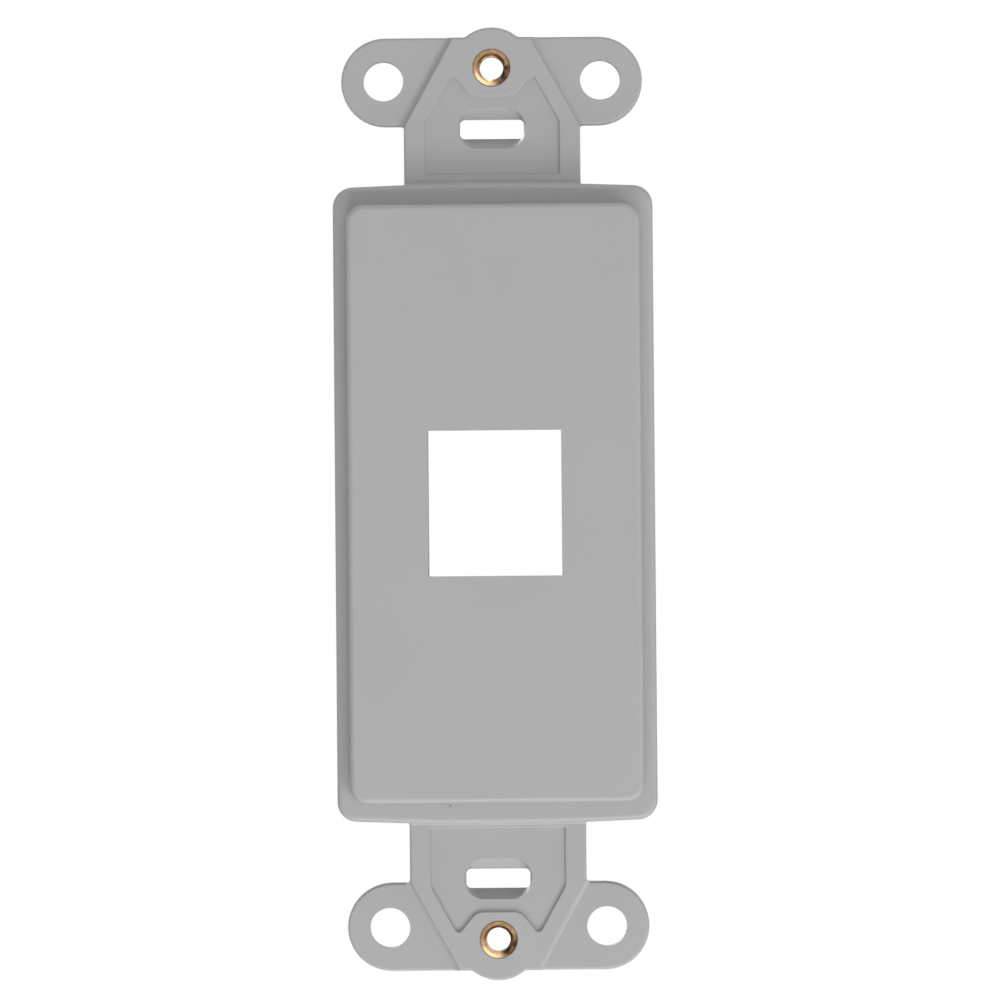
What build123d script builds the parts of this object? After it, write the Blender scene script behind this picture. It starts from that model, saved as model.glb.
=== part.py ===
"""Wall plate insert with one module port: a moulded body and two brass threaded inserts.

Sizes are in millimetres, Z is up, and the front faces -Y. The origin is the middle of the wall plane,
which the backs of the four ears rest on. A depth counts forward from that plane, towards -Y.
"""
import os

from build123d import *

# Screws: the pitch of the wall box's own two, and the step from each to the cover plate's screw
box_screw_pitch = 83.34
plate_screw_step = 6.75

# Face: the block that shows through the cover plate
face_w = 32.5
face_depth = 7.0
face_corner_r = 2.0
face_edge_r = 0.6

# Flange: the step that laps behind the cover plate, with ends that bow outwards, clear of the box screws
flange_lap_w = 1.5
flange_lap_h = 2.42
flange_screw_gap = 6.13
flange_bow = 0.44
flange_depth = 4.2
flange_corner_r = 2.2
flange_edge_r = 0.6

# Tabs: a raised middle that carries the screws, with an ear on each side
tab_depth = 3.0
tab_edge_r = 0.3
tab_root_r = 0.25
neck_w = 19.6
neck_corner_r = 0.35
shoulder_inset = 0.23
shoulder_top_w = 8.4
shoulder_slope_w = 0.1
shoulder_foot_r = 0.5
dome_r = 4.5
dome_foot_r = 0.6

# Ears, placed from the neck's sides and the cover plate's screw
ear_hole_gap = 2.25
ear_rim = 4.68
ear_h = 9.76
ear_drop = 1.47
ear_depth = 2.4
ear_edge_r = 0.3
ear_hole_d = 4.45
ear_hole_drop = 1.37

# Pocket sunk in the raised middle, around the box screw's slot
pocket_sink = 0.35
pocket_w = 15.1
pocket_flange_gap = 0.96
lower_pocket_reach = 0.61
pocket_slant_rise = 0.43
pocket_tip_spacing = 9.04
pocket_tip_drop = 0.42
pocket_end_w = 4.8
pocket_end_drop = 3.02
pocket_draft = 25
pocket_corner_r = 0.3
pocket_slant_r = 1.2
pocket_tip_r = 0.5
pocket_end_r = 1.5

# Slot for the box screw: lips in the middle of its depth hold the screw, and it is open again behind them
slot_w = 7.6
slot_h = 4.55
slot_throat_w = 7.1
slot_throat_h = 2.15
slot_throat_r = 0.55
slot_lip_depth = 1.2
slot_lip_t = 0.4

# Brass insert, moulded into the tab with its ends flush
insert_d = 4.15
insert_bore_d = 2.64
insert_mouth_w = 0.42
insert_edge_w = 0.08

# Port and the housing behind it, which holds a snap-in module by a hook below and a latch above
port_w = 14.86
port_h = 16.13
hook_room = 1.9
latch_room = 3.9
latch_ledge_h = 1.6
ledge_t = 1.5
housing_wall = 1.6
housing_reach = 3.5

# Hollow back with stiffening ribs
wall = 2.0
skin = 1.8
hollow_corner_r = 1.0
rib_t = 1.2
rib_sink = 1.0
rib_spacing = 9.8

# Places and sizes that follow from the values above
slot_z = box_screw_pitch / 2
insert_z = slot_z + plate_screw_step
flange_h = box_screw_pitch - 2 * flange_screw_gap
flange_w = face_w + 2 * flange_lap_w
face_h = flange_h - 2 * flange_lap_h
ear_hole_spacing = neck_w + 2 * ear_hole_gap
ear_span = ear_hole_spacing + 2 * ear_rim
ear_z = insert_z - ear_drop
ear_low = ear_z - ear_h / 2
ear_top = ear_z + ear_h / 2
ear_hole_z = insert_z - ear_hole_drop
flange_side_h = flange_h - 2 * flange_bow
neck_root = flange_side_h / 2 - wall
pocket_depth = tab_depth - pocket_sink
pocket_low = flange_h / 2 + pocket_flange_gap
pocket_slant_z = ear_low + pocket_slant_rise
pocket_tip_z = insert_z - pocket_tip_drop
pocket_end_z = insert_z - pocket_end_drop
face_hollow = face_depth - skin
flange_hollow = flange_depth - skin
housing_low = -(port_h / 2 + hook_room + housing_wall)
housing_top = port_h / 2 + latch_room + housing_wall
same_plane = 1e-4


# Outline of the top tab, seen from the front
with BuildSketch(Plane.XZ) as tab_outline:
    with Locations((0, ear_z)):
        SlotOverall(ear_span, ear_h)
    with Locations((0, neck_root)):
        Rectangle(neck_w, ear_z - neck_root, align=(Align.CENTER, Align.MIN))
    with Locations((0, insert_z)):
        Circle(dome_r)
    neck_corners = tab_outline.vertices().filter_by(
        lambda v: abs(abs(v.X) - neck_w / 2) < same_plane and v.Y > neck_root + same_plane
    )
    fillet(neck_corners, neck_corner_r)
    dome_feet = tab_outline.vertices().filter_by(
        lambda v: abs(v.Y - ear_top) < same_plane and abs(v.X) < dome_r
    )
    fillet(dome_feet, dome_foot_r)


# Plate that runs through both ears
with BuildPart() as ear_plate:
    extrude(tab_outline.sketch, amount=ear_depth)
    fillet(ear_plate.faces().sort_by(Axis.Y)[0].outer_wire().edges(), ear_edge_r)


# Top tab
with BuildPart() as tab:
    extrude(tab_outline.sketch, amount=tab_depth)
    fillet(tab.faces().sort_by(Axis.Y)[0].outer_wire().edges(), tab_edge_r)

    # Beyond the shoulders only the plate is left, below a steep wall with a hollow curve at its foot
    for side in (1, -1):
        shoulder_low = Vector(side * (neck_w / 2 - shoulder_inset), -tab_depth, ear_low)
        shoulder_top = Vector(side * shoulder_top_w / 2, -tab_depth, ear_top)
        along = (shoulder_top - shoulder_low).normalized()
        outward = Vector(side * along.Z, 0, -side * along.X)
        step = tab_depth - ear_depth
        across = Plane(origin=shoulder_low, x_dir=outward, z_dir=outward.cross(Vector(0, -1, 0)))
        with BuildSketch(across):
            with BuildLine():
                foot = CenterArc(
                    (shoulder_slope_w + shoulder_foot_r, shoulder_foot_r - step), shoulder_foot_r, 180, 90
                )
                down = Line(foot @ 1, ((foot @ 1).X, -tab_depth))
                Polyline(down @ 1, (ear_span, -tab_depth), (ear_span, step), (0, step), (0, 0), foot @ 0)
            make_face()
        extrude(amount=ear_span, both=True, mode=Mode.SUBTRACT)

    add(ear_plate.part)

    with BuildSketch(Plane.XZ):
        with Locations((-ear_hole_spacing / 2, ear_hole_z), (ear_hole_spacing / 2, ear_hole_z)):
            Circle(ear_hole_d / 2)
        with Locations((0, insert_z)):
            Circle(insert_d / 2)
    extrude(amount=tab_depth, mode=Mode.SUBTRACT)

    with BuildSketch(Plane.XZ.offset(tab_depth)) as pocket_outline:
        with BuildLine():
            Polyline(
                (-pocket_end_w / 2, pocket_end_z),
                (pocket_end_w / 2, pocket_end_z),
                (pocket_tip_spacing / 2, pocket_tip_z),
                (pocket_w / 2, pocket_slant_z),
                (pocket_w / 2, pocket_low),
                (-pocket_w / 2, pocket_low),
                (-pocket_w / 2, pocket_slant_z),
                (-pocket_tip_spacing / 2, pocket_tip_z),
                close=True,
            )
        make_face()
        fillet(pocket_outline.vertices().group_by(Axis.Y)[0], pocket_corner_r)
        fillet(pocket_outline.vertices().group_by(Axis.Y)[-1], pocket_tip_r)
        ends = pocket_outline.vertices().filter_by(lambda v: abs(v.Y - pocket_end_z) < same_plane)
        fillet(ends, pocket_end_r)
        slants = pocket_outline.vertices().filter_by(lambda v: abs(v.Y - pocket_slant_z) < same_plane)
        fillet(slants, pocket_slant_r)
    extrude(amount=-pocket_sink, taper=pocket_draft, mode=Mode.SUBTRACT)

    # The slot narrows to its lips, and is full size again behind them
    with BuildSketch(Plane.XZ.offset(pocket_depth)):
        with Locations((0, slot_z)):
            RectangleRounded(slot_w, slot_h, slot_h / 2 - same_plane)
    with BuildSketch(Plane.XZ.offset(slot_lip_depth)):
        with Locations((0, slot_z)):
            RectangleRounded(slot_throat_w, slot_throat_h, slot_throat_r)
    loft(mode=Mode.SUBTRACT)
    with BuildSketch(Plane.XZ):
        with Locations((0, slot_z)):
            RectangleRounded(slot_throat_w, slot_throat_h, slot_throat_r)
    extrude(amount=slot_lip_depth, mode=Mode.SUBTRACT)
    with BuildSketch(Plane.XZ):
        with Locations((0, slot_z)):
            SlotOverall(slot_w, slot_h)
    extrude(amount=slot_lip_depth - slot_lip_t, mode=Mode.SUBTRACT)


# Moulded body
with BuildPart() as insert_body:
    with BuildSketch(Plane.XZ) as flange_outline:
        with BuildLine():
            right = Line((flange_w / 2, -flange_side_h / 2), (flange_w / 2, flange_side_h / 2))
            left = Line((-flange_w / 2, flange_side_h / 2), (-flange_w / 2, -flange_side_h / 2))
            ThreePointArc(right @ 1, (0, flange_h / 2), left @ 0)
            ThreePointArc(left @ 1, (0, -flange_h / 2), right @ 0)
        make_face()
        fillet(flange_outline.vertices(), flange_corner_r)
    extrude(amount=flange_depth)
    fillet(insert_body.faces().sort_by(Axis.Y)[0].outer_wire().edges(), flange_edge_r)

    with BuildSketch(Plane.XZ.offset(flange_depth)):
        RectangleRounded(face_w, face_h, face_corner_r)
    extrude(amount=face_depth - flange_depth)
    fillet(insert_body.faces().sort_by(Axis.Y)[0].outer_wire().edges(), face_edge_r)

    add(tab.part)
    add(mirror(tab.part, about=Plane.XY))
    tab_roots = insert_body.edges().filter_by(
        lambda e: -tab_depth - same_plane < e.center().Y < -same_plane
        and abs(e.center().X) < neck_w / 2 + same_plane
        and flange_side_h / 2 < abs(e.center().Z) < flange_h / 2 + same_plane
    )
    fillet(tab_roots, tab_root_r)

    # The lower pocket reaches nearer to the flange than the upper one
    with BuildSketch(Plane.XZ.offset(tab_depth)) as pocket_reach:
        with Locations((0, lower_pocket_reach - pocket_low)):
            Rectangle(pocket_w, 2 * lower_pocket_reach, align=(Align.CENTER, Align.MAX))
        fillet(pocket_reach.vertices().group_by(Axis.Y)[-1], pocket_corner_r)
    extrude(amount=-pocket_sink, taper=pocket_draft, mode=Mode.SUBTRACT)

    # Hollow back, in two steps that follow the flange and the face
    with BuildSketch(Plane.XZ):
        RectangleRounded(flange_w - 2 * wall, flange_side_h - 2 * wall, hollow_corner_r)
    extrude(amount=flange_hollow, mode=Mode.SUBTRACT)
    with BuildSketch(Plane.XZ):
        RectangleRounded(face_w - 2 * wall, face_h - 2 * wall, hollow_corner_r)
    extrude(amount=face_hollow, mode=Mode.SUBTRACT)

    # Ribs in both steps: two upright, one across the middle, and one across each half beyond the housing
    across_top = (housing_top + face_h / 2 - wall) / 2
    across_low = (housing_low - face_h / 2 + wall) / 2
    for step_w, step_h, near, far in (
        (flange_w, flange_side_h, rib_sink, flange_hollow),
        (face_w, face_h, flange_hollow, face_hollow),
    ):
        with BuildSketch(Plane.XZ.offset(near)):
            with Locations((-rib_spacing / 2, 0), (rib_spacing / 2, 0)):
                Rectangle(rib_t, step_h - wall)
            with Locations((0, across_top), (0, 0), (0, across_low)):
                Rectangle(step_w - wall, rib_t)
        extrude(amount=far - near)

    # Module housing
    with BuildSketch(Plane.XZ.offset(-housing_reach)):
        with Locations((0, (housing_top + housing_low) / 2)):
            Rectangle(port_w + 2 * housing_wall, housing_top - housing_low)
    extrude(amount=housing_reach + face_hollow)
    with BuildSketch(Plane.XZ.offset(-housing_reach)):
        Rectangle(port_w, port_h)
    extrude(amount=housing_reach + face_depth, mode=Mode.SUBTRACT)
    with BuildSketch(Plane.XZ.offset(ledge_t - housing_reach)):
        with Locations((0, (latch_room - hook_room) / 2)):
            Rectangle(port_w, port_h + hook_room + latch_room)
    extrude(amount=housing_reach - ledge_t + face_hollow, mode=Mode.SUBTRACT)
    with BuildSketch(Plane.XZ.offset(-housing_reach)):
        with Locations((0, (latch_room - latch_ledge_h) / 2)):
            Rectangle(port_w, port_h + latch_room - latch_ledge_h)
    extrude(amount=ledge_t, mode=Mode.SUBTRACT)


# Threaded brass insert, as a turned ring with chamfered ends
with BuildPart() as threaded_insert:
    with BuildSketch(Plane.XZ):
        with Locations((0, insert_z)):
            Circle(insert_d / 2)
            Circle(insert_bore_d / 2, mode=Mode.SUBTRACT)
    extrude(amount=tab_depth)
    circles = threaded_insert.edges().filter_by(GeomType.CIRCLE)
    chamfer(circles.filter_by(lambda e: e.radius < insert_d / 2 - same_plane), insert_mouth_w)
    circles = threaded_insert.edges().filter_by(GeomType.CIRCLE)
    chamfer(circles.filter_by(lambda e: e.radius > insert_d / 2 - same_plane), insert_edge_w)


with BuildPart() as lower_insert:
    add(mirror(threaded_insert.part, about=Plane.XY))


os.makedirs("parts", exist_ok=True)
for piece, name in (
    (insert_body, "insert_body"),
    (threaded_insert, "threaded_insert_top"),
    (lower_insert, "threaded_insert_bottom"),
):
    piece.part.label = name
    export_step(piece.part, f"parts/{name}.step")
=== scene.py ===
"""Wall plate insert: its finishes, threaded inserts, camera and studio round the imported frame."""

import logging
import math
from dataclasses import dataclass, field
from enum import Enum

import bpy
from mathutils import Euler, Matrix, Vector


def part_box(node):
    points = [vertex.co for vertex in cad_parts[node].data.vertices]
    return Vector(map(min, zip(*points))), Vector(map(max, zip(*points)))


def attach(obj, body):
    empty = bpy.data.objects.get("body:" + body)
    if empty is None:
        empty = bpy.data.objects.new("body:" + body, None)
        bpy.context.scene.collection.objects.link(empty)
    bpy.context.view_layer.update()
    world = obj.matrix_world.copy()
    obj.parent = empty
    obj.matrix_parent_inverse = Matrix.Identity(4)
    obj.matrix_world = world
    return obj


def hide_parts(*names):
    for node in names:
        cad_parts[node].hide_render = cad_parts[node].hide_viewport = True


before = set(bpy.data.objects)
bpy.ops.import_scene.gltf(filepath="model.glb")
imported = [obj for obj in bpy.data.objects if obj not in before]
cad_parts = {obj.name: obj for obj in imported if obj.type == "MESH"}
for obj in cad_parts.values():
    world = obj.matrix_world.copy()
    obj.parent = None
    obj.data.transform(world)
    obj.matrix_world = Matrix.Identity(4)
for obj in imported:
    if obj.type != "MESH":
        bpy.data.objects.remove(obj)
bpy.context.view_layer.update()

MM = 0.001
FULL_TURN = 2 * math.pi
MARK_CORE = 0.45
LOG = logging.getLogger("wall_plate_insert")

Triple = tuple[float, float, float]


class InsertPlace(Enum):
    """The frame's node at each end that holds a threaded insert."""

    TOP = "threaded_insert_top"
    BOTTOM = "threaded_insert_bottom"


class WhiteRay(Enum):
    """The rays that see the background as plain white."""

    CAMERA = "Is Camera Ray"
    GLOSSY = "Is Glossy Ray"
    TRANSMISSION = "Is Transmission Ray"


def select_only(*objects: bpy.types.Object) -> None:
    """Select these objects alone and make the first one active.

    Args:
        *objects: The objects to select, which may be none.
    """
    bpy.ops.object.select_all(action="DESELECT")
    for thing in objects:
        thing.select_set(True)
    if objects:
        bpy.context.view_layer.objects.active = objects[0]


def node_middle(node: str) -> Vector:
    """Return the middle of a frame node's box, in metres."""
    low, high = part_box(node)
    return (low + high) / 2


class NodeBench:
    """Adds and wires the nodes of one node tree."""

    def __init__(self, tree: bpy.types.NodeTree) -> None:
        """Keep the tree that this bench works on."""
        self.tree = tree

    def add(self, kind: str, **settings: object) -> bpy.types.Node:
        """Add one node.

        Args:
            kind: The node's type, such as ShaderNodeMath.
            **settings: Properties of the node, or the name of a group's tree as node_tree.

        Returns:
            The new node.
        """
        node = self.tree.nodes.new(kind)
        for name, value in settings.items():
            setattr(node, name, value)
        return node

    def wire(self, source: bpy.types.NodeSocket, target: bpy.types.NodeSocket) -> None:
        """Wire an output to an input."""
        self.tree.links.new(source, target)

    def feed(self, socket: bpy.types.NodeSocket, value: object) -> None:
        """Give an input its value, from a wire or as a constant.

        Args:
            socket: The input.
            value: Another node's output, or a number, vector or colour.
        """
        if isinstance(value, bpy.types.NodeSocket):
            self.wire(value, socket)
        else:
            socket.default_value = value

    def operate(self, kind: str, operation: str, *values: object) -> bpy.types.Node:
        """Add a node that works on its inputs in order.

        Args:
            kind: The node's type.
            operation: The node's operation.
            *values: Its inputs in order.

        Returns:
            The new node.
        """
        node = self.add(kind, operation=operation)
        for socket, value in zip(node.inputs, values):
            self.feed(socket, value)
        return node

    def calculate(self, operation: str, *values: object) -> bpy.types.NodeSocket:
        """Add a math node and return its output."""
        return self.operate("ShaderNodeMath", operation, *values).outputs[0]

    def vector(self, operation: str, *values: object) -> bpy.types.Node:
        """Add a vector math node and return it."""
        return self.operate("ShaderNodeVectorMath", operation, *values)

    def ramp(self, value: object, start: float, end: float, low: object, high: object) -> bpy.types.NodeSocket:
        """Add a smooth map range node.

        Args:
            value: The number that is read.
            start: The value that gives low.
            end: The value that gives high.
            low: The result at start.
            high: The result at end.

        Returns:
            Its output.
        """
        node = self.add("ShaderNodeMapRange", interpolation_type="SMOOTHSTEP")
        for name, number in zip(("Value", "From Min", "From Max", "To Min", "To Max"), (value, start, end, low, high)):
            self.feed(node.inputs[name], number)
        return node.outputs["Result"]

    def blend(self, factor: object, first: object, second: object) -> bpy.types.NodeSocket:
        """Add a colour mix and return its result."""
        node = self.add("ShaderNodeMix", data_type="RGBA")
        self.feed(node.inputs["Factor"], factor)
        for name, value in (("A", first), ("B", second)):
            socket = next(s for s in node.inputs if s.name == name and s.type == "RGBA")
            self.feed(socket, (*value, 1.0) if isinstance(value, tuple) else value)
        return next(s for s in node.outputs if s.type == "RGBA")

    def group(self, tree: bpy.types.NodeTree, **inputs: object) -> bpy.types.Node:
        """Place a node group with its own values.

        Args:
            tree: The group's tree.
            **inputs: Its inputs by name, with underscores for spaces.

        Returns:
            The group node.
        """
        node = self.add("ShaderNodeGroup", node_tree=tree)
        for name, value in inputs.items():
            self.feed(node.inputs[name.replace("_", " ")], value)
        return node


def new_group(name: str, inputs: dict[str, str], outputs: dict[str, str]) -> tuple[NodeBench, dict, dict]:
    """Start a shader node group.

    Args:
        name: The group's name.
        inputs: The type of each input socket by name.
        outputs: The type of each output socket by name.

    Returns:
        A bench on the group's tree, its inputs' sockets by name, and its outputs' sockets by name.
    """
    tree = bpy.data.node_groups.new(name, "ShaderNodeTree")
    for sockets, side in ((inputs, "INPUT"), (outputs, "OUTPUT")):
        for label, kind in sockets.items():
            tree.interface.new_socket(name=label, in_out=side, socket_type=kind)
    bench = NodeBench(tree)
    entry = bench.add("NodeGroupInput")
    exit_node = bench.add("NodeGroupOutput")
    return bench, {n: entry.outputs[n] for n in inputs}, {n: exit_node.inputs[n] for n in outputs}


def make_surface_grain() -> bpy.types.NodeTree:
    """Make the group that gives a surface its fine grain and its broad, soft clouds of tone.

    Returns:
        The group's tree, with a position in metres and the two sizes in, and two values from 0 to 1 out.
    """
    bench, given, out = new_group(
        "surface_grain",
        {"Position": "NodeSocketVector", "Grain Size": "NodeSocketFloat", "Cloud Size": "NodeSocketFloat"},
        {"Grain": "NodeSocketFloat", "Cloud": "NodeSocketFloat"},
    )
    for size, result, detail in (("Grain Size", "Grain", 3.0), ("Cloud Size", "Cloud", 1.0)):
        noise = bench.add("ShaderNodeTexNoise")
        bench.wire(given["Position"], noise.inputs["Vector"])
        bench.wire(bench.calculate("DIVIDE", 1.0, given[size]), noise.inputs["Scale"])
        noise.inputs["Detail"].default_value = detail
        bench.wire(noise.outputs["Fac"], out[result])
    return bench.tree


def make_round_mark() -> bpy.types.NodeTree:
    """Make the group that marks a small round place on a surface.

    Returns:
        The group's tree, with a position, a centre and a radius in metres in, and a mask out. The mask is 1 within
        the mark's core, which reaches over a share MARK_CORE of the radius.
    """
    bench, given, out = new_group(
        "round_mark",
        {"Position": "NodeSocketVector", "Centre": "NodeSocketVector", "Radius": "NodeSocketFloat"},
        {"Mask": "NodeSocketFloat"},
    )
    distance = bench.vector("DISTANCE", given["Position"], given["Centre"]).outputs["Value"]
    share = bench.calculate("DIVIDE", distance, given["Radius"])
    bench.wire(bench.ramp(share, MARK_CORE, 1.0, 1.0, 0.0), out["Mask"])
    return bench.tree


def make_insert_reach() -> bpy.types.NodeTree:
    """Make the group that places a spot on or round the nearer threaded insert.

    Returns:
        The group's tree. A position and the insert's height in metres and a direction go in. The distance from the
        insert's axis in metres comes out, and a lean, which is 1 on the side that the direction points to.
    """
    bench, given, out = new_group(
        "insert_reach",
        {"Position": "NodeSocketVector", "Insert Height": "NodeSocketFloat", "Direction": "NodeSocketVector"},
        {"Distance": "NodeSocketFloat", "Lean": "NodeSocketFloat"},
    )
    parts = bench.add("ShaderNodeSeparateXYZ")
    bench.wire(given["Position"], parts.inputs[0])
    axis = bench.calculate("MULTIPLY", bench.calculate("SIGN", parts.outputs["Z"]), given["Insert Height"])
    offset = bench.add("ShaderNodeCombineXYZ")
    bench.wire(parts.outputs["X"], offset.inputs["X"])
    bench.wire(bench.calculate("SUBTRACT", parts.outputs["Z"], axis), offset.inputs["Z"])
    bench.wire(bench.vector("LENGTH", offset.outputs[0]).outputs["Value"], out["Distance"])
    unit = bench.vector("NORMALIZE", offset.outputs[0]).outputs["Vector"]
    bench.wire(bench.vector("DOT_PRODUCT", unit, given["Direction"]).outputs["Value"], out["Lean"])
    return bench.tree


@dataclass(frozen=True)
class SharedGroups:
    """The node groups that more than one finish uses."""

    grain: bpy.types.NodeTree = field(default_factory=make_surface_grain)
    mark: bpy.types.NodeTree = field(default_factory=make_round_mark)
    insert_reach: bpy.types.NodeTree = field(default_factory=make_insert_reach)


def new_material(name: str) -> tuple[bpy.types.Material, NodeBench, bpy.types.Node, bpy.types.NodeSocket]:
    """Start a material.

    Args:
        name: The material's name.

    Returns:
        The material, a bench on its tree, its shader, and the object coordinates' output.
    """
    material = bpy.data.materials.new(name)
    material.use_nodes = True
    bench = NodeBench(material.node_tree)
    shader = next(n for n in bench.tree.nodes if n.type == "BSDF_PRINCIPLED")
    position = bench.add("ShaderNodeTexCoord").outputs["Object"]
    return material, bench, shader, position


def add_bump(bench: NodeBench, shader: bpy.types.Node, height: bpy.types.NodeSocket, depth: float) -> None:
    """Let a height bend a shader's normal.

    Args:
        bench: The material's bench.
        shader: Its shader.
        height: The height, about 0 to 1.
        depth: How deep a height of 1 is, in metres.
    """
    bump = bench.add("ShaderNodeBump")
    bump.inputs["Strength"].default_value = 1.0
    bump.inputs["Distance"].default_value = depth
    bench.wire(height, bump.inputs["Height"])
    bench.wire(bump.outputs["Normal"], shader.inputs["Normal"])


@dataclass(frozen=True)
class NickSpot:
    """One round part of the small moulding nick at the foot of the raised face: a real pit, with painted shade in its
    colour.

    Attributes:
        centre: Its place, in metres.
        radius: Its radius, in metres.
        shade: How far its colour goes to the nick's painted shade tone, from 0 to 1.
        depth: How deep it is, as a multiple of the plastic's grain depth.
    """

    centre: Triple
    radius: float
    shade: float
    depth: float


@dataclass(frozen=True)
class MouldedPlastic:
    """Grey moulded plastic with a fine satin grain, painted shade in the gap round each insert, and one small moulding
    nick with painted shade in its pit.

    Attributes:
        tone: The plastic's middle grey.
        tone_swing: How far the soft clouds go to either side of it.
        grain_range: The values of the grain between which its tone fades in.
        grain_share: How far the grain's peaks go to the lightest grey.
        cloud_range: The values of the clouds between which the roughness goes from low to high.
        gap_shade_radius: The radius of the seats, at which the painted shade in the gap round each insert is darkest,
            in metres.
        gap_shade_strength: How far the colour goes to the painted gap shade's tone there, from 0 to 1.
        nick: The round parts of the nick.
    """

    name: str = "moulded_plastic_grey"
    tone: float = 0.41
    tone_swing: float = 0.012
    grain_size: float = 0.16 * MM
    grain_depth: float = 0.006 * MM
    grain_range: tuple[float, float] = (0.25, 0.75)
    grain_share: float = 0.35
    cloud_size: float = 9.0 * MM
    cloud_range: tuple[float, float] = (0.3, 0.7)
    roughness_low: float = 0.5
    roughness_high: float = 0.52
    gap_shade_radius: float = 2.075 * MM
    gap_shade_width: float = 0.13 * MM
    gap_shade_strength: float = 0.45
    # Both tones below are painted shade: the first in the gap round each insert, the second in the nick.
    gap_shade_tone: Triple = (0.03, 0.028, 0.025)
    nick_shade_tone: Triple = (0.05, 0.05, 0.05)
    nick: tuple[NickSpot, ...] = (
        NickSpot((-5.26 * MM, -4.2 * MM, -33.42 * MM), radius=0.22 * MM, shade=0.3, depth=6.0),
        NickSpot((-4.66 * MM, -4.2 * MM, -33.4 * MM), radius=0.13 * MM, shade=0.25, depth=3.0),
    )

    def build(self, groups: SharedGroups, insert_height: float) -> bpy.types.Material:
        """Make the material.

        Args:
            groups: The shared node groups.
            insert_height: How far the inserts' axes are from the middle, in metres.

        Returns:
            The material.
        """
        material, bench, shader, position = new_material(self.name)
        grain = bench.group(groups.grain, Position=position, Grain_Size=self.grain_size, Cloud_Size=self.cloud_size)
        low, high = self.tone - self.tone_swing, self.tone + self.tone_swing
        colour = bench.blend(grain.outputs["Cloud"], (low,) * 3, (high,) * 3)
        fine = bench.ramp(grain.outputs["Grain"], *self.grain_range, 0.0, self.grain_share)
        colour = bench.blend(fine, colour, (high,) * 3)

        # Painted shade: the plastic is darkened in a thin ring in the gap round each insert.
        gap_reach = bench.group(groups.insert_reach, Position=position, Insert_Height=insert_height)
        painted_shade = bench.ramp(
            gap_reach.outputs["Distance"], self.gap_shade_radius, self.gap_shade_radius + self.gap_shade_width, self.gap_shade_strength, 0.0
        )
        colour = bench.blend(painted_shade, colour, self.gap_shade_tone)

        height = grain.outputs["Grain"]
        # Each nick spot is a pit in the bump, and its colour is darkened with painted shade.
        for spot in self.nick:
            mask = bench.group(groups.mark, Position=position, Centre=spot.centre, Radius=spot.radius).outputs["Mask"]
            colour = bench.blend(bench.calculate("MULTIPLY", mask, spot.shade), colour, self.nick_shade_tone)
            height = bench.calculate("SUBTRACT", height, bench.calculate("MULTIPLY", mask, spot.depth))
        bench.wire(colour, shader.inputs["Base Color"])
        rough = bench.ramp(grain.outputs["Cloud"], *self.cloud_range, self.roughness_low, self.roughness_high)
        bench.wire(rough, shader.inputs["Roughness"])
        add_bump(bench, shader, height, self.grain_depth)
        return material


@dataclass(frozen=True)
class TurnedBrass:
    """Turned brass with ring marks, with a painted highlight on one side of each insert and painted shade on another.

    Attributes:
        painted_highlight_side: The direction from each insert's axis to the side with a painted highlight.
        painted_shade_side: The direction to the side with painted shade.
        patchiness: How far soft patches push both sides' edges about.
        patch_start: The lean at which a side begins to show.
        patch_full: The lean at which it shows in full.
        cloud_range: The values of the clouds between which the roughness goes from low to high.
        ring_share: How deep the ring marks are, as a multiple of mark_depth.
    """

    name: str = "turned_brass"
    # The first tone is a painted highlight and the third is painted shade; the middle one is the brass's own colour.
    painted_highlight: Triple = (0.74, 0.54, 0.31)
    middle: Triple = (0.25, 0.15, 0.075)
    painted_shade: Triple = (0.045, 0.024, 0.012)
    painted_highlight_side: Triple = (-0.57, 0.0, -0.82)
    painted_shade_side: Triple = (0.9, 0.0, -0.44)
    patchiness: float = 0.9
    patch_start: float = 0.55
    patch_full: float = 1.1
    grain_size: float = 0.25 * MM
    cloud_size: float = 0.8 * MM
    cloud_range: tuple[float, float] = (0.35, 0.7)
    ring_pitch: float = 0.2 * MM
    ring_share: float = 0.3
    mark_depth: float = 0.006 * MM
    roughness_low: float = 0.24
    roughness_high: float = 0.42

    def build(self, groups: SharedGroups, insert_height: float) -> bpy.types.Material:
        """Make the material.

        Args:
            groups: The shared node groups.
            insert_height: How far the inserts' axes are from the middle, in metres.

        Returns:
            The material.
        """
        material, bench, shader, position = new_material(self.name)
        grain = bench.group(groups.grain, Position=position, Grain_Size=self.grain_size, Cloud_Size=self.cloud_size)
        patch = bench.calculate("MULTIPLY", bench.calculate("SUBTRACT", grain.outputs["Cloud"], 0.5), self.patchiness)
        sides = []
        # Painted light: each insert gets a painted highlight on one side and painted shade on another, set by
        # direction round its axis.
        for direction in (self.painted_highlight_side, self.painted_shade_side):
            reach = bench.group(
                groups.insert_reach, Position=position, Insert_Height=insert_height, Direction=direction
            )
            lean = bench.calculate("ADD", reach.outputs["Lean"], patch)
            sides.append(bench.ramp(lean, self.patch_start, self.patch_full, 0.0, 1.0))
        colour = bench.blend(sides[0], self.middle, self.painted_highlight)
        bench.wire(bench.blend(sides[1], colour, self.painted_shade), shader.inputs["Base Color"])

        turns = bench.calculate("MULTIPLY", reach.outputs["Distance"], FULL_TURN / self.ring_pitch)
        rings = bench.calculate("MULTIPLY", bench.calculate("SINE", turns), self.ring_share)
        height = bench.calculate("ADD", rings, grain.outputs["Grain"])
        rough = bench.ramp(grain.outputs["Cloud"], *self.cloud_range, self.roughness_low, self.roughness_high)
        bench.wire(rough, shader.inputs["Roughness"])
        shader.inputs["Metallic"].default_value = 1.0
        add_bump(bench, shader, height, self.mark_depth)
        return material


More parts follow.
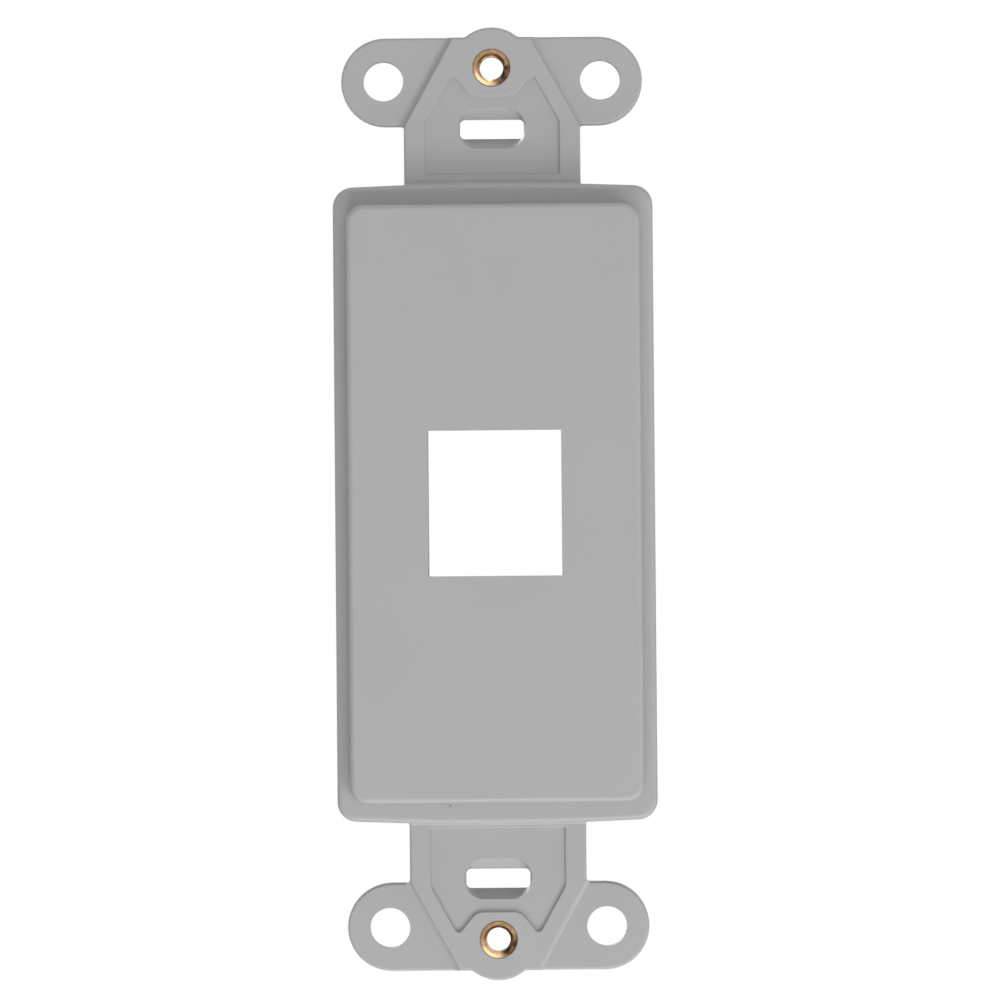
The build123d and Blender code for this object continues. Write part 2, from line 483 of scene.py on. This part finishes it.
@dataclass(frozen=True)
class PaleFloor:
    """A matt pale floor that fades into the white background.

    Attributes:
        camera_lift: How much brighter the camera sees the floor near the part.
        far_lift: How much brighter it sees the floor far away.
        fade_start: The distance from the floor's middle at which it begins to fade, in metres.
        fade_end: The distance at which it has faded, in metres.
    """

    name: str = "pale_floor"
    tone: float = 0.8
    tone_swing: float = 0.01
    camera_lift: float = 0.4
    far_lift: float = 0.85
    fade_start: float = 1.5
    fade_end: float = 6.5
    roughness: float = 0.9
    grain_size: float = 2.0 * MM
    cloud_size: float = 400.0 * MM

    def build(self, groups: SharedGroups) -> bpy.types.Material:
        """Make the material and return it."""
        material, bench, shader, position = new_material(self.name)
        grain = bench.group(groups.grain, Position=position, Grain_Size=self.grain_size, Cloud_Size=self.cloud_size)
        low, high = self.tone - self.tone_swing, self.tone + self.tone_swing
        colour = bench.blend(grain.outputs["Cloud"], (low,) * 3, (high,) * 3)
        bench.wire(colour, shader.inputs["Base Color"])
        shader.inputs["Roughness"].default_value = self.roughness
        shader.inputs["Emission Color"].default_value = (1.0, 1.0, 1.0, 1.0)
        path = bench.add("ShaderNodeLightPath")
        reach = bench.vector("LENGTH", position).outputs["Value"]
        lift = bench.ramp(reach, self.fade_start, self.fade_end, self.camera_lift, self.far_lift)
        lift = bench.calculate("MULTIPLY", path.outputs[WhiteRay.CAMERA.value], lift)
        bench.wire(lift, shader.inputs["Emission Strength"])
        return material


@dataclass
class MouldedBody:
    """The moulded body: raised face with its port, flange, tabs and ears, as the frame has it."""

    groups: SharedGroups
    node: str = "insert_body"
    finish: MouldedPlastic = field(default_factory=MouldedPlastic)

    def dress(self, insert_height: float) -> bpy.types.Object:
        """Give the frame's body its plastic.

        Args:
            insert_height: How far the inserts' axes are from the middle, in metres.

        Returns:
            The body's object.
        """
        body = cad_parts[self.node]
        material = self.finish.build(self.groups, insert_height)
        for place in body.material_slots:
            place.material = material
        return body


@dataclass
class ThreadedInsertPair:
    """The two brass inserts, turned once with their thread cut, and copied to the other end.

    Attributes:
        bore_radius: The radius of the bore before the thread is cut, in metres.
        mouth_chamfer: The chamfer at both ends of the bore, in metres.
        rim_chamfer: The chamfer at both outer rims, in metres.
        thread_radius: The radius to which the thread is cut, in metres.
        thread_base: The width of each side of the three-sided ridge that cuts the thread, in metres.
        spare_turns: How many turns the ridge has beyond the ring's length.
        facets: How many flats a full turn has.
        weld: The distance within which points become one, in metres.
    """

    groups: SharedGroups
    slot: str = "insert_brass"
    finish: TurnedBrass = field(default_factory=TurnedBrass)
    bore_radius: float = 1.32 * MM
    mouth_chamfer: float = 0.42 * MM
    rim_chamfer: float = 0.08 * MM
    thread_radius: float = 1.7526 * MM
    thread_pitch: float = 0.79375 * MM
    thread_base: float = 0.7 * MM
    spare_turns: int = 2
    facets: int = 72
    smooth_angle: float = math.radians(28)
    weld: float = 0.0005 * MM

    @property
    def height(self) -> float:
        """How far each insert's axis is from the middle, in metres."""
        return node_middle(InsertPlace.TOP.value).z

    @property
    def length(self) -> float:
        """The insert's length along its axis, in metres."""
        low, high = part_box(InsertPlace.TOP.value)
        return high.y - low.y

    @property
    def outer_radius(self) -> float:
        """The insert's outer radius, in metres."""
        low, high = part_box(InsertPlace.TOP.value)
        return (high.x - low.x) / 2

    def _chamfer_corners(self, section: bpy.types.Object, inner: bool, width: float) -> None:
        """Cut the two inner or outer corners of the flat section.

        Args:
            section: The section, in edit mode.
            inner: Whether the corners at the bore are meant.
            width: The chamfer's width, in metres.
        """
        middle = (self.bore_radius + self.outer_radius) / 2
        bpy.ops.mesh.select_all(action="DESELECT")
        bpy.ops.object.mode_set(mode="OBJECT")
        for vertex in section.data.vertices:
            vertex.select = (vertex.co.x < middle) == inner
        bpy.ops.object.mode_set(mode="EDIT")
        bpy.ops.mesh.bevel(offset=width * math.sqrt(0.5), offset_type="WIDTH", segments=1, affect="VERTICES")

    def _turn_ring(self) -> bpy.types.Object:
        """Turn the plain ring about the Y axis from its half section, its front at -Y.

        Returns:
            The ring.
        """
        wall = self.outer_radius - self.bore_radius
        select_only()
        bpy.ops.mesh.primitive_plane_add(size=1.0, location=(0.0, 0.0, 0.0))
        ring = bpy.context.object
        bpy.ops.object.mode_set(mode="EDIT")
        bpy.ops.mesh.select_mode(type="VERT")
        bpy.ops.transform.resize(value=(wall, self.length, 1.0))
        bpy.ops.transform.translate(value=(self.bore_radius + wall / 2, -self.length / 2, 0.0))
        self._chamfer_corners(ring, inner=True, width=self.mouth_chamfer * math.sqrt(2))
        self._chamfer_corners(ring, inner=False, width=self.rim_chamfer * math.sqrt(2))
        bpy.ops.mesh.select_all(action="SELECT")
        bpy.ops.mesh.delete(type="ONLY_FACE")
        bpy.ops.mesh.select_all(action="SELECT")
        bpy.ops.mesh.spin(steps=self.facets, angle=FULL_TURN, center=(0.0, 0.0, 0.0), axis=(0.0, 1.0, 0.0))
        bpy.ops.mesh.select_all(action="SELECT")
        bpy.ops.mesh.remove_doubles(threshold=self.weld)
        bpy.ops.mesh.normals_make_consistent(inside=False)
        bpy.ops.object.mode_set(mode="OBJECT")
        return ring

    def _thread_cutter(self) -> bpy.types.Object:
        """Wind a 60 degree ridge as long as the ring, with a turn to spare at each end.

        Returns:
            The cutter.
        """
        corner = self.thread_base / math.sqrt(3)
        turns = math.ceil(self.length / self.thread_pitch) + self.spare_turns
        select_only()
        bpy.ops.mesh.primitive_circle_add(vertices=3, radius=corner, fill_type="NOTHING", location=(0.0, 0.0, 0.0))
        cutter = bpy.context.object
        tip = max(cutter.data.vertices, key=lambda v: v.co.length).co
        start = -(self.length + turns * self.thread_pitch) / 2
        bpy.ops.object.mode_set(mode="EDIT")
        bpy.ops.transform.rotate(
            value=math.atan2(tip.y, tip.x), orient_axis="Z", orient_type="GLOBAL", center_override=(0.0, 0.0, 0.0)
        )
        bpy.ops.transform.translate(value=(self.thread_radius - corner, start, 0.0))
        bpy.ops.object.mode_set(mode="OBJECT")
        winding = cutter.modifiers.new("winding", "SCREW")
        winding.axis = "Y"
        winding.screw_offset = self.thread_pitch
        winding.iterations = turns
        winding.steps = winding.render_steps = self.facets
        winding.use_smooth_shade = False
        bpy.ops.object.modifier_apply(modifier=winding.name)
        bpy.ops.object.mode_set(mode="EDIT")
        bpy.ops.mesh.select_all(action="SELECT")
        bpy.ops.mesh.fill_holes(sides=3)
        bpy.ops.mesh.normals_make_consistent(inside=False)
        bpy.ops.object.mode_set(mode="OBJECT")
        return cutter

    def _cut_thread(self, ring: bpy.types.Object, cutter: bpy.types.Object) -> None:
        """Cut the thread into the ring and throw the cutter away.

        Args:
            ring: The plain ring.
            cutter: The wound ridge.
        """
        cut = ring.modifiers.new("thread", "BOOLEAN")
        cut.operation = "DIFFERENCE"
        cut.solver = "EXACT"
        cut.object = cutter
        select_only(ring)
        bpy.ops.object.modifier_apply(modifier=cut.name)
        bpy.data.objects.remove(cutter)
        bpy.ops.object.mode_set(mode="EDIT")
        bpy.ops.mesh.select_all(action="SELECT")
        bpy.ops.mesh.remove_doubles(threshold=self.weld)
        bpy.ops.object.mode_set(mode="OBJECT")
        bpy.ops.object.shade_smooth_by_angle(angle=self.smooth_angle)

    def _place(self, insert: bpy.types.Object, at: InsertPlace, offset: Vector) -> bpy.types.Object:
        """Move an insert along and let it stand for its node.

        Args:
            insert: The insert.
            at: The end that holds it.
            offset: How far it goes, in metres.

        Returns:
            The insert.
        """
        insert.name = f"brass_{at.value}"
        insert.location = offset
        select_only(insert)
        bpy.ops.object.transform_apply(location=True, rotation=True, scale=True)
        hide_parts(at.value)
        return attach(insert, "root")

    def build(self) -> list[bpy.types.Object]:
        """Turn and thread the upper insert, copy it for the lower end, and dress both.

        Returns:
            Both inserts.
        """
        top = self._turn_ring()
        self._cut_thread(top, self._thread_cutter())
        top.data.materials.append(self.finish.build(self.groups, self.height))
        bottom = top.copy()
        bottom.data = top.data.copy()
        bpy.context.scene.collection.objects.link(bottom)
        return [
            self._place(top, InsertPlace.TOP, Vector((0.0, 0.0, self.height))),
            self._place(bottom, InsertPlace.BOTTOM, Vector((0.0, 0.0, -self.height))),
        ]


@dataclass
class PhotoCamera:
    """The camera at the photograph's viewing angle."""

    distance: float = 0.8
    azimuth: float = math.radians(0.2)
    elevation: float = math.radians(-0.74)
    roll: float = math.radians(-0.49)
    lens: float = 258.4
    sensor_width: float = 36.0
    shift_x: float = 0.0048
    shift_y: float = 0.0037
    clip_start: float = 0.01
    clip_end: float = 50.0

    def build(self) -> bpy.types.Object:
        """Make the scene's camera and return it."""
        data = bpy.data.cameras.new("photo_camera")
        data.lens, data.sensor_width = self.lens, self.sensor_width
        data.shift_x, data.shift_y = self.shift_x, self.shift_y
        data.clip_start, data.clip_end = self.clip_start, self.clip_end
        camera = bpy.data.objects.new("photo_camera", data)
        turn = Euler((math.pi / 2 - self.elevation, 0.0, self.azimuth)).to_quaternion()
        camera.rotation_mode = "QUATERNION"
        camera.rotation_quaternion = turn @ Euler((0.0, 0.0, self.roll)).to_quaternion()
        camera.location = turn @ Vector((0.0, 0.0, self.distance))
        bpy.context.scene.collection.objects.link(camera)
        bpy.context.scene.camera = camera
        return camera


@dataclass(frozen=True)
class SoftLamp:
    """One round soft lamp that looks at the part's middle."""

    name: str
    towards: Triple
    power: float
    distance: float = 1.1
    width: float = 0.6

    def hang(self) -> bpy.types.Object:
        """Hang the lamp and return it."""
        data = bpy.data.lights.new(self.name, "AREA")
        data.shape = "DISK"
        data.size = self.width
        data.energy = self.power
        lamp = bpy.data.objects.new(self.name, data)
        towards = Vector(self.towards).normalized()
        lamp.location = towards * self.distance
        lamp.rotation_euler = towards.to_track_quat("Z", "Y").to_euler()
        lamp.visible_camera = False
        bpy.context.scene.collection.objects.link(lamp)
        return lamp


@dataclass
class Studio:
    """A pale floor well below the part, soft lamps mostly from below, and an even white surround."""

    groups: SharedGroups
    floor_drop: float = 1.2
    floor_width: float = 16.0
    surround: float = 0.29
    lamps: tuple[SoftLamp, ...] = (
        SoftLamp("lamp_below", (0.0, -0.5, -0.87), 5.8),
        SoftLamp("lamp_below_right", (0.54, -0.64, -0.54), 4.1),
        SoftLamp("lamp_front", (0.0, -1.0, 0.0), 1.4),
        SoftLamp("lamp_top_rim", (0.0, -0.25, 0.97), 2.7),
        SoftLamp("lamp_right_rim", (0.97, -0.25, 0.0), 1.4),
        SoftLamp("lamp_left_rim", (-0.97, -0.25, 0.0), 1.1),
        SoftLamp("lamp_back", (-0.45, 1.0, 0.5), 5.0),
    )

    def _floor(self) -> bpy.types.Object:
        """Lay the floor and return it."""
        select_only()
        bpy.ops.mesh.primitive_plane_add(size=self.floor_width, location=(0.0, 0.0, -self.floor_drop))
        floor = bpy.context.object
        floor.name = "studio_floor"
        floor.data.materials.append(PaleFloor().build(self.groups))
        return floor

    def _surround(self) -> bpy.types.World:
        """Light the part evenly from all sides, with plain white behind it."""
        world = bpy.data.worlds.new("white_surround")
        world.use_nodes = True
        bench = NodeBench(world.node_tree)
        background = next(n for n in bench.tree.nodes if n.type == "BACKGROUND")
        background.inputs["Color"].default_value = (1.0, 1.0, 1.0, 1.0)
        path = bench.add("ShaderNodeLightPath")
        sees_white: object = 0.0
        for ray in WhiteRay:
            sees_white = bench.calculate("MAXIMUM", sees_white, path.outputs[ray.value])
        bench.wire(bench.ramp(sees_white, 0.0, 1.0, self.surround, 1.0), background.inputs["Strength"])
        bpy.context.scene.world = world
        return world

    def build(self) -> list[bpy.types.ID]:
        """Make the floor, the lamps and the surround.

        Returns:
            All of them.
        """
        bpy.context.scene.view_settings.view_transform = "Standard"
        return [self._floor(), *(lamp.hang() for lamp in self.lamps), self._surround()]


def main() -> None:
    """Dress the body, make the inserts, and set up the camera and the studio."""
    logging.basicConfig(level=logging.INFO, format="%(name)s: %(message)s")
    groups = SharedGroups()
    inserts = ThreadedInsertPair(groups)
    body = MouldedBody(groups).dress(inserts.height)
    LOG.info("dressed %s", body.name)
    for insert in inserts.build():
        LOG.info("made %s with %d faces", insert.name, len(insert.data.polygons))
    LOG.info("placed %s", PhotoCamera().build().name)
    for thing in Studio(groups).build():
        LOG.info("set up %s", thing.name)


if __name__ == "__main__":
    main()
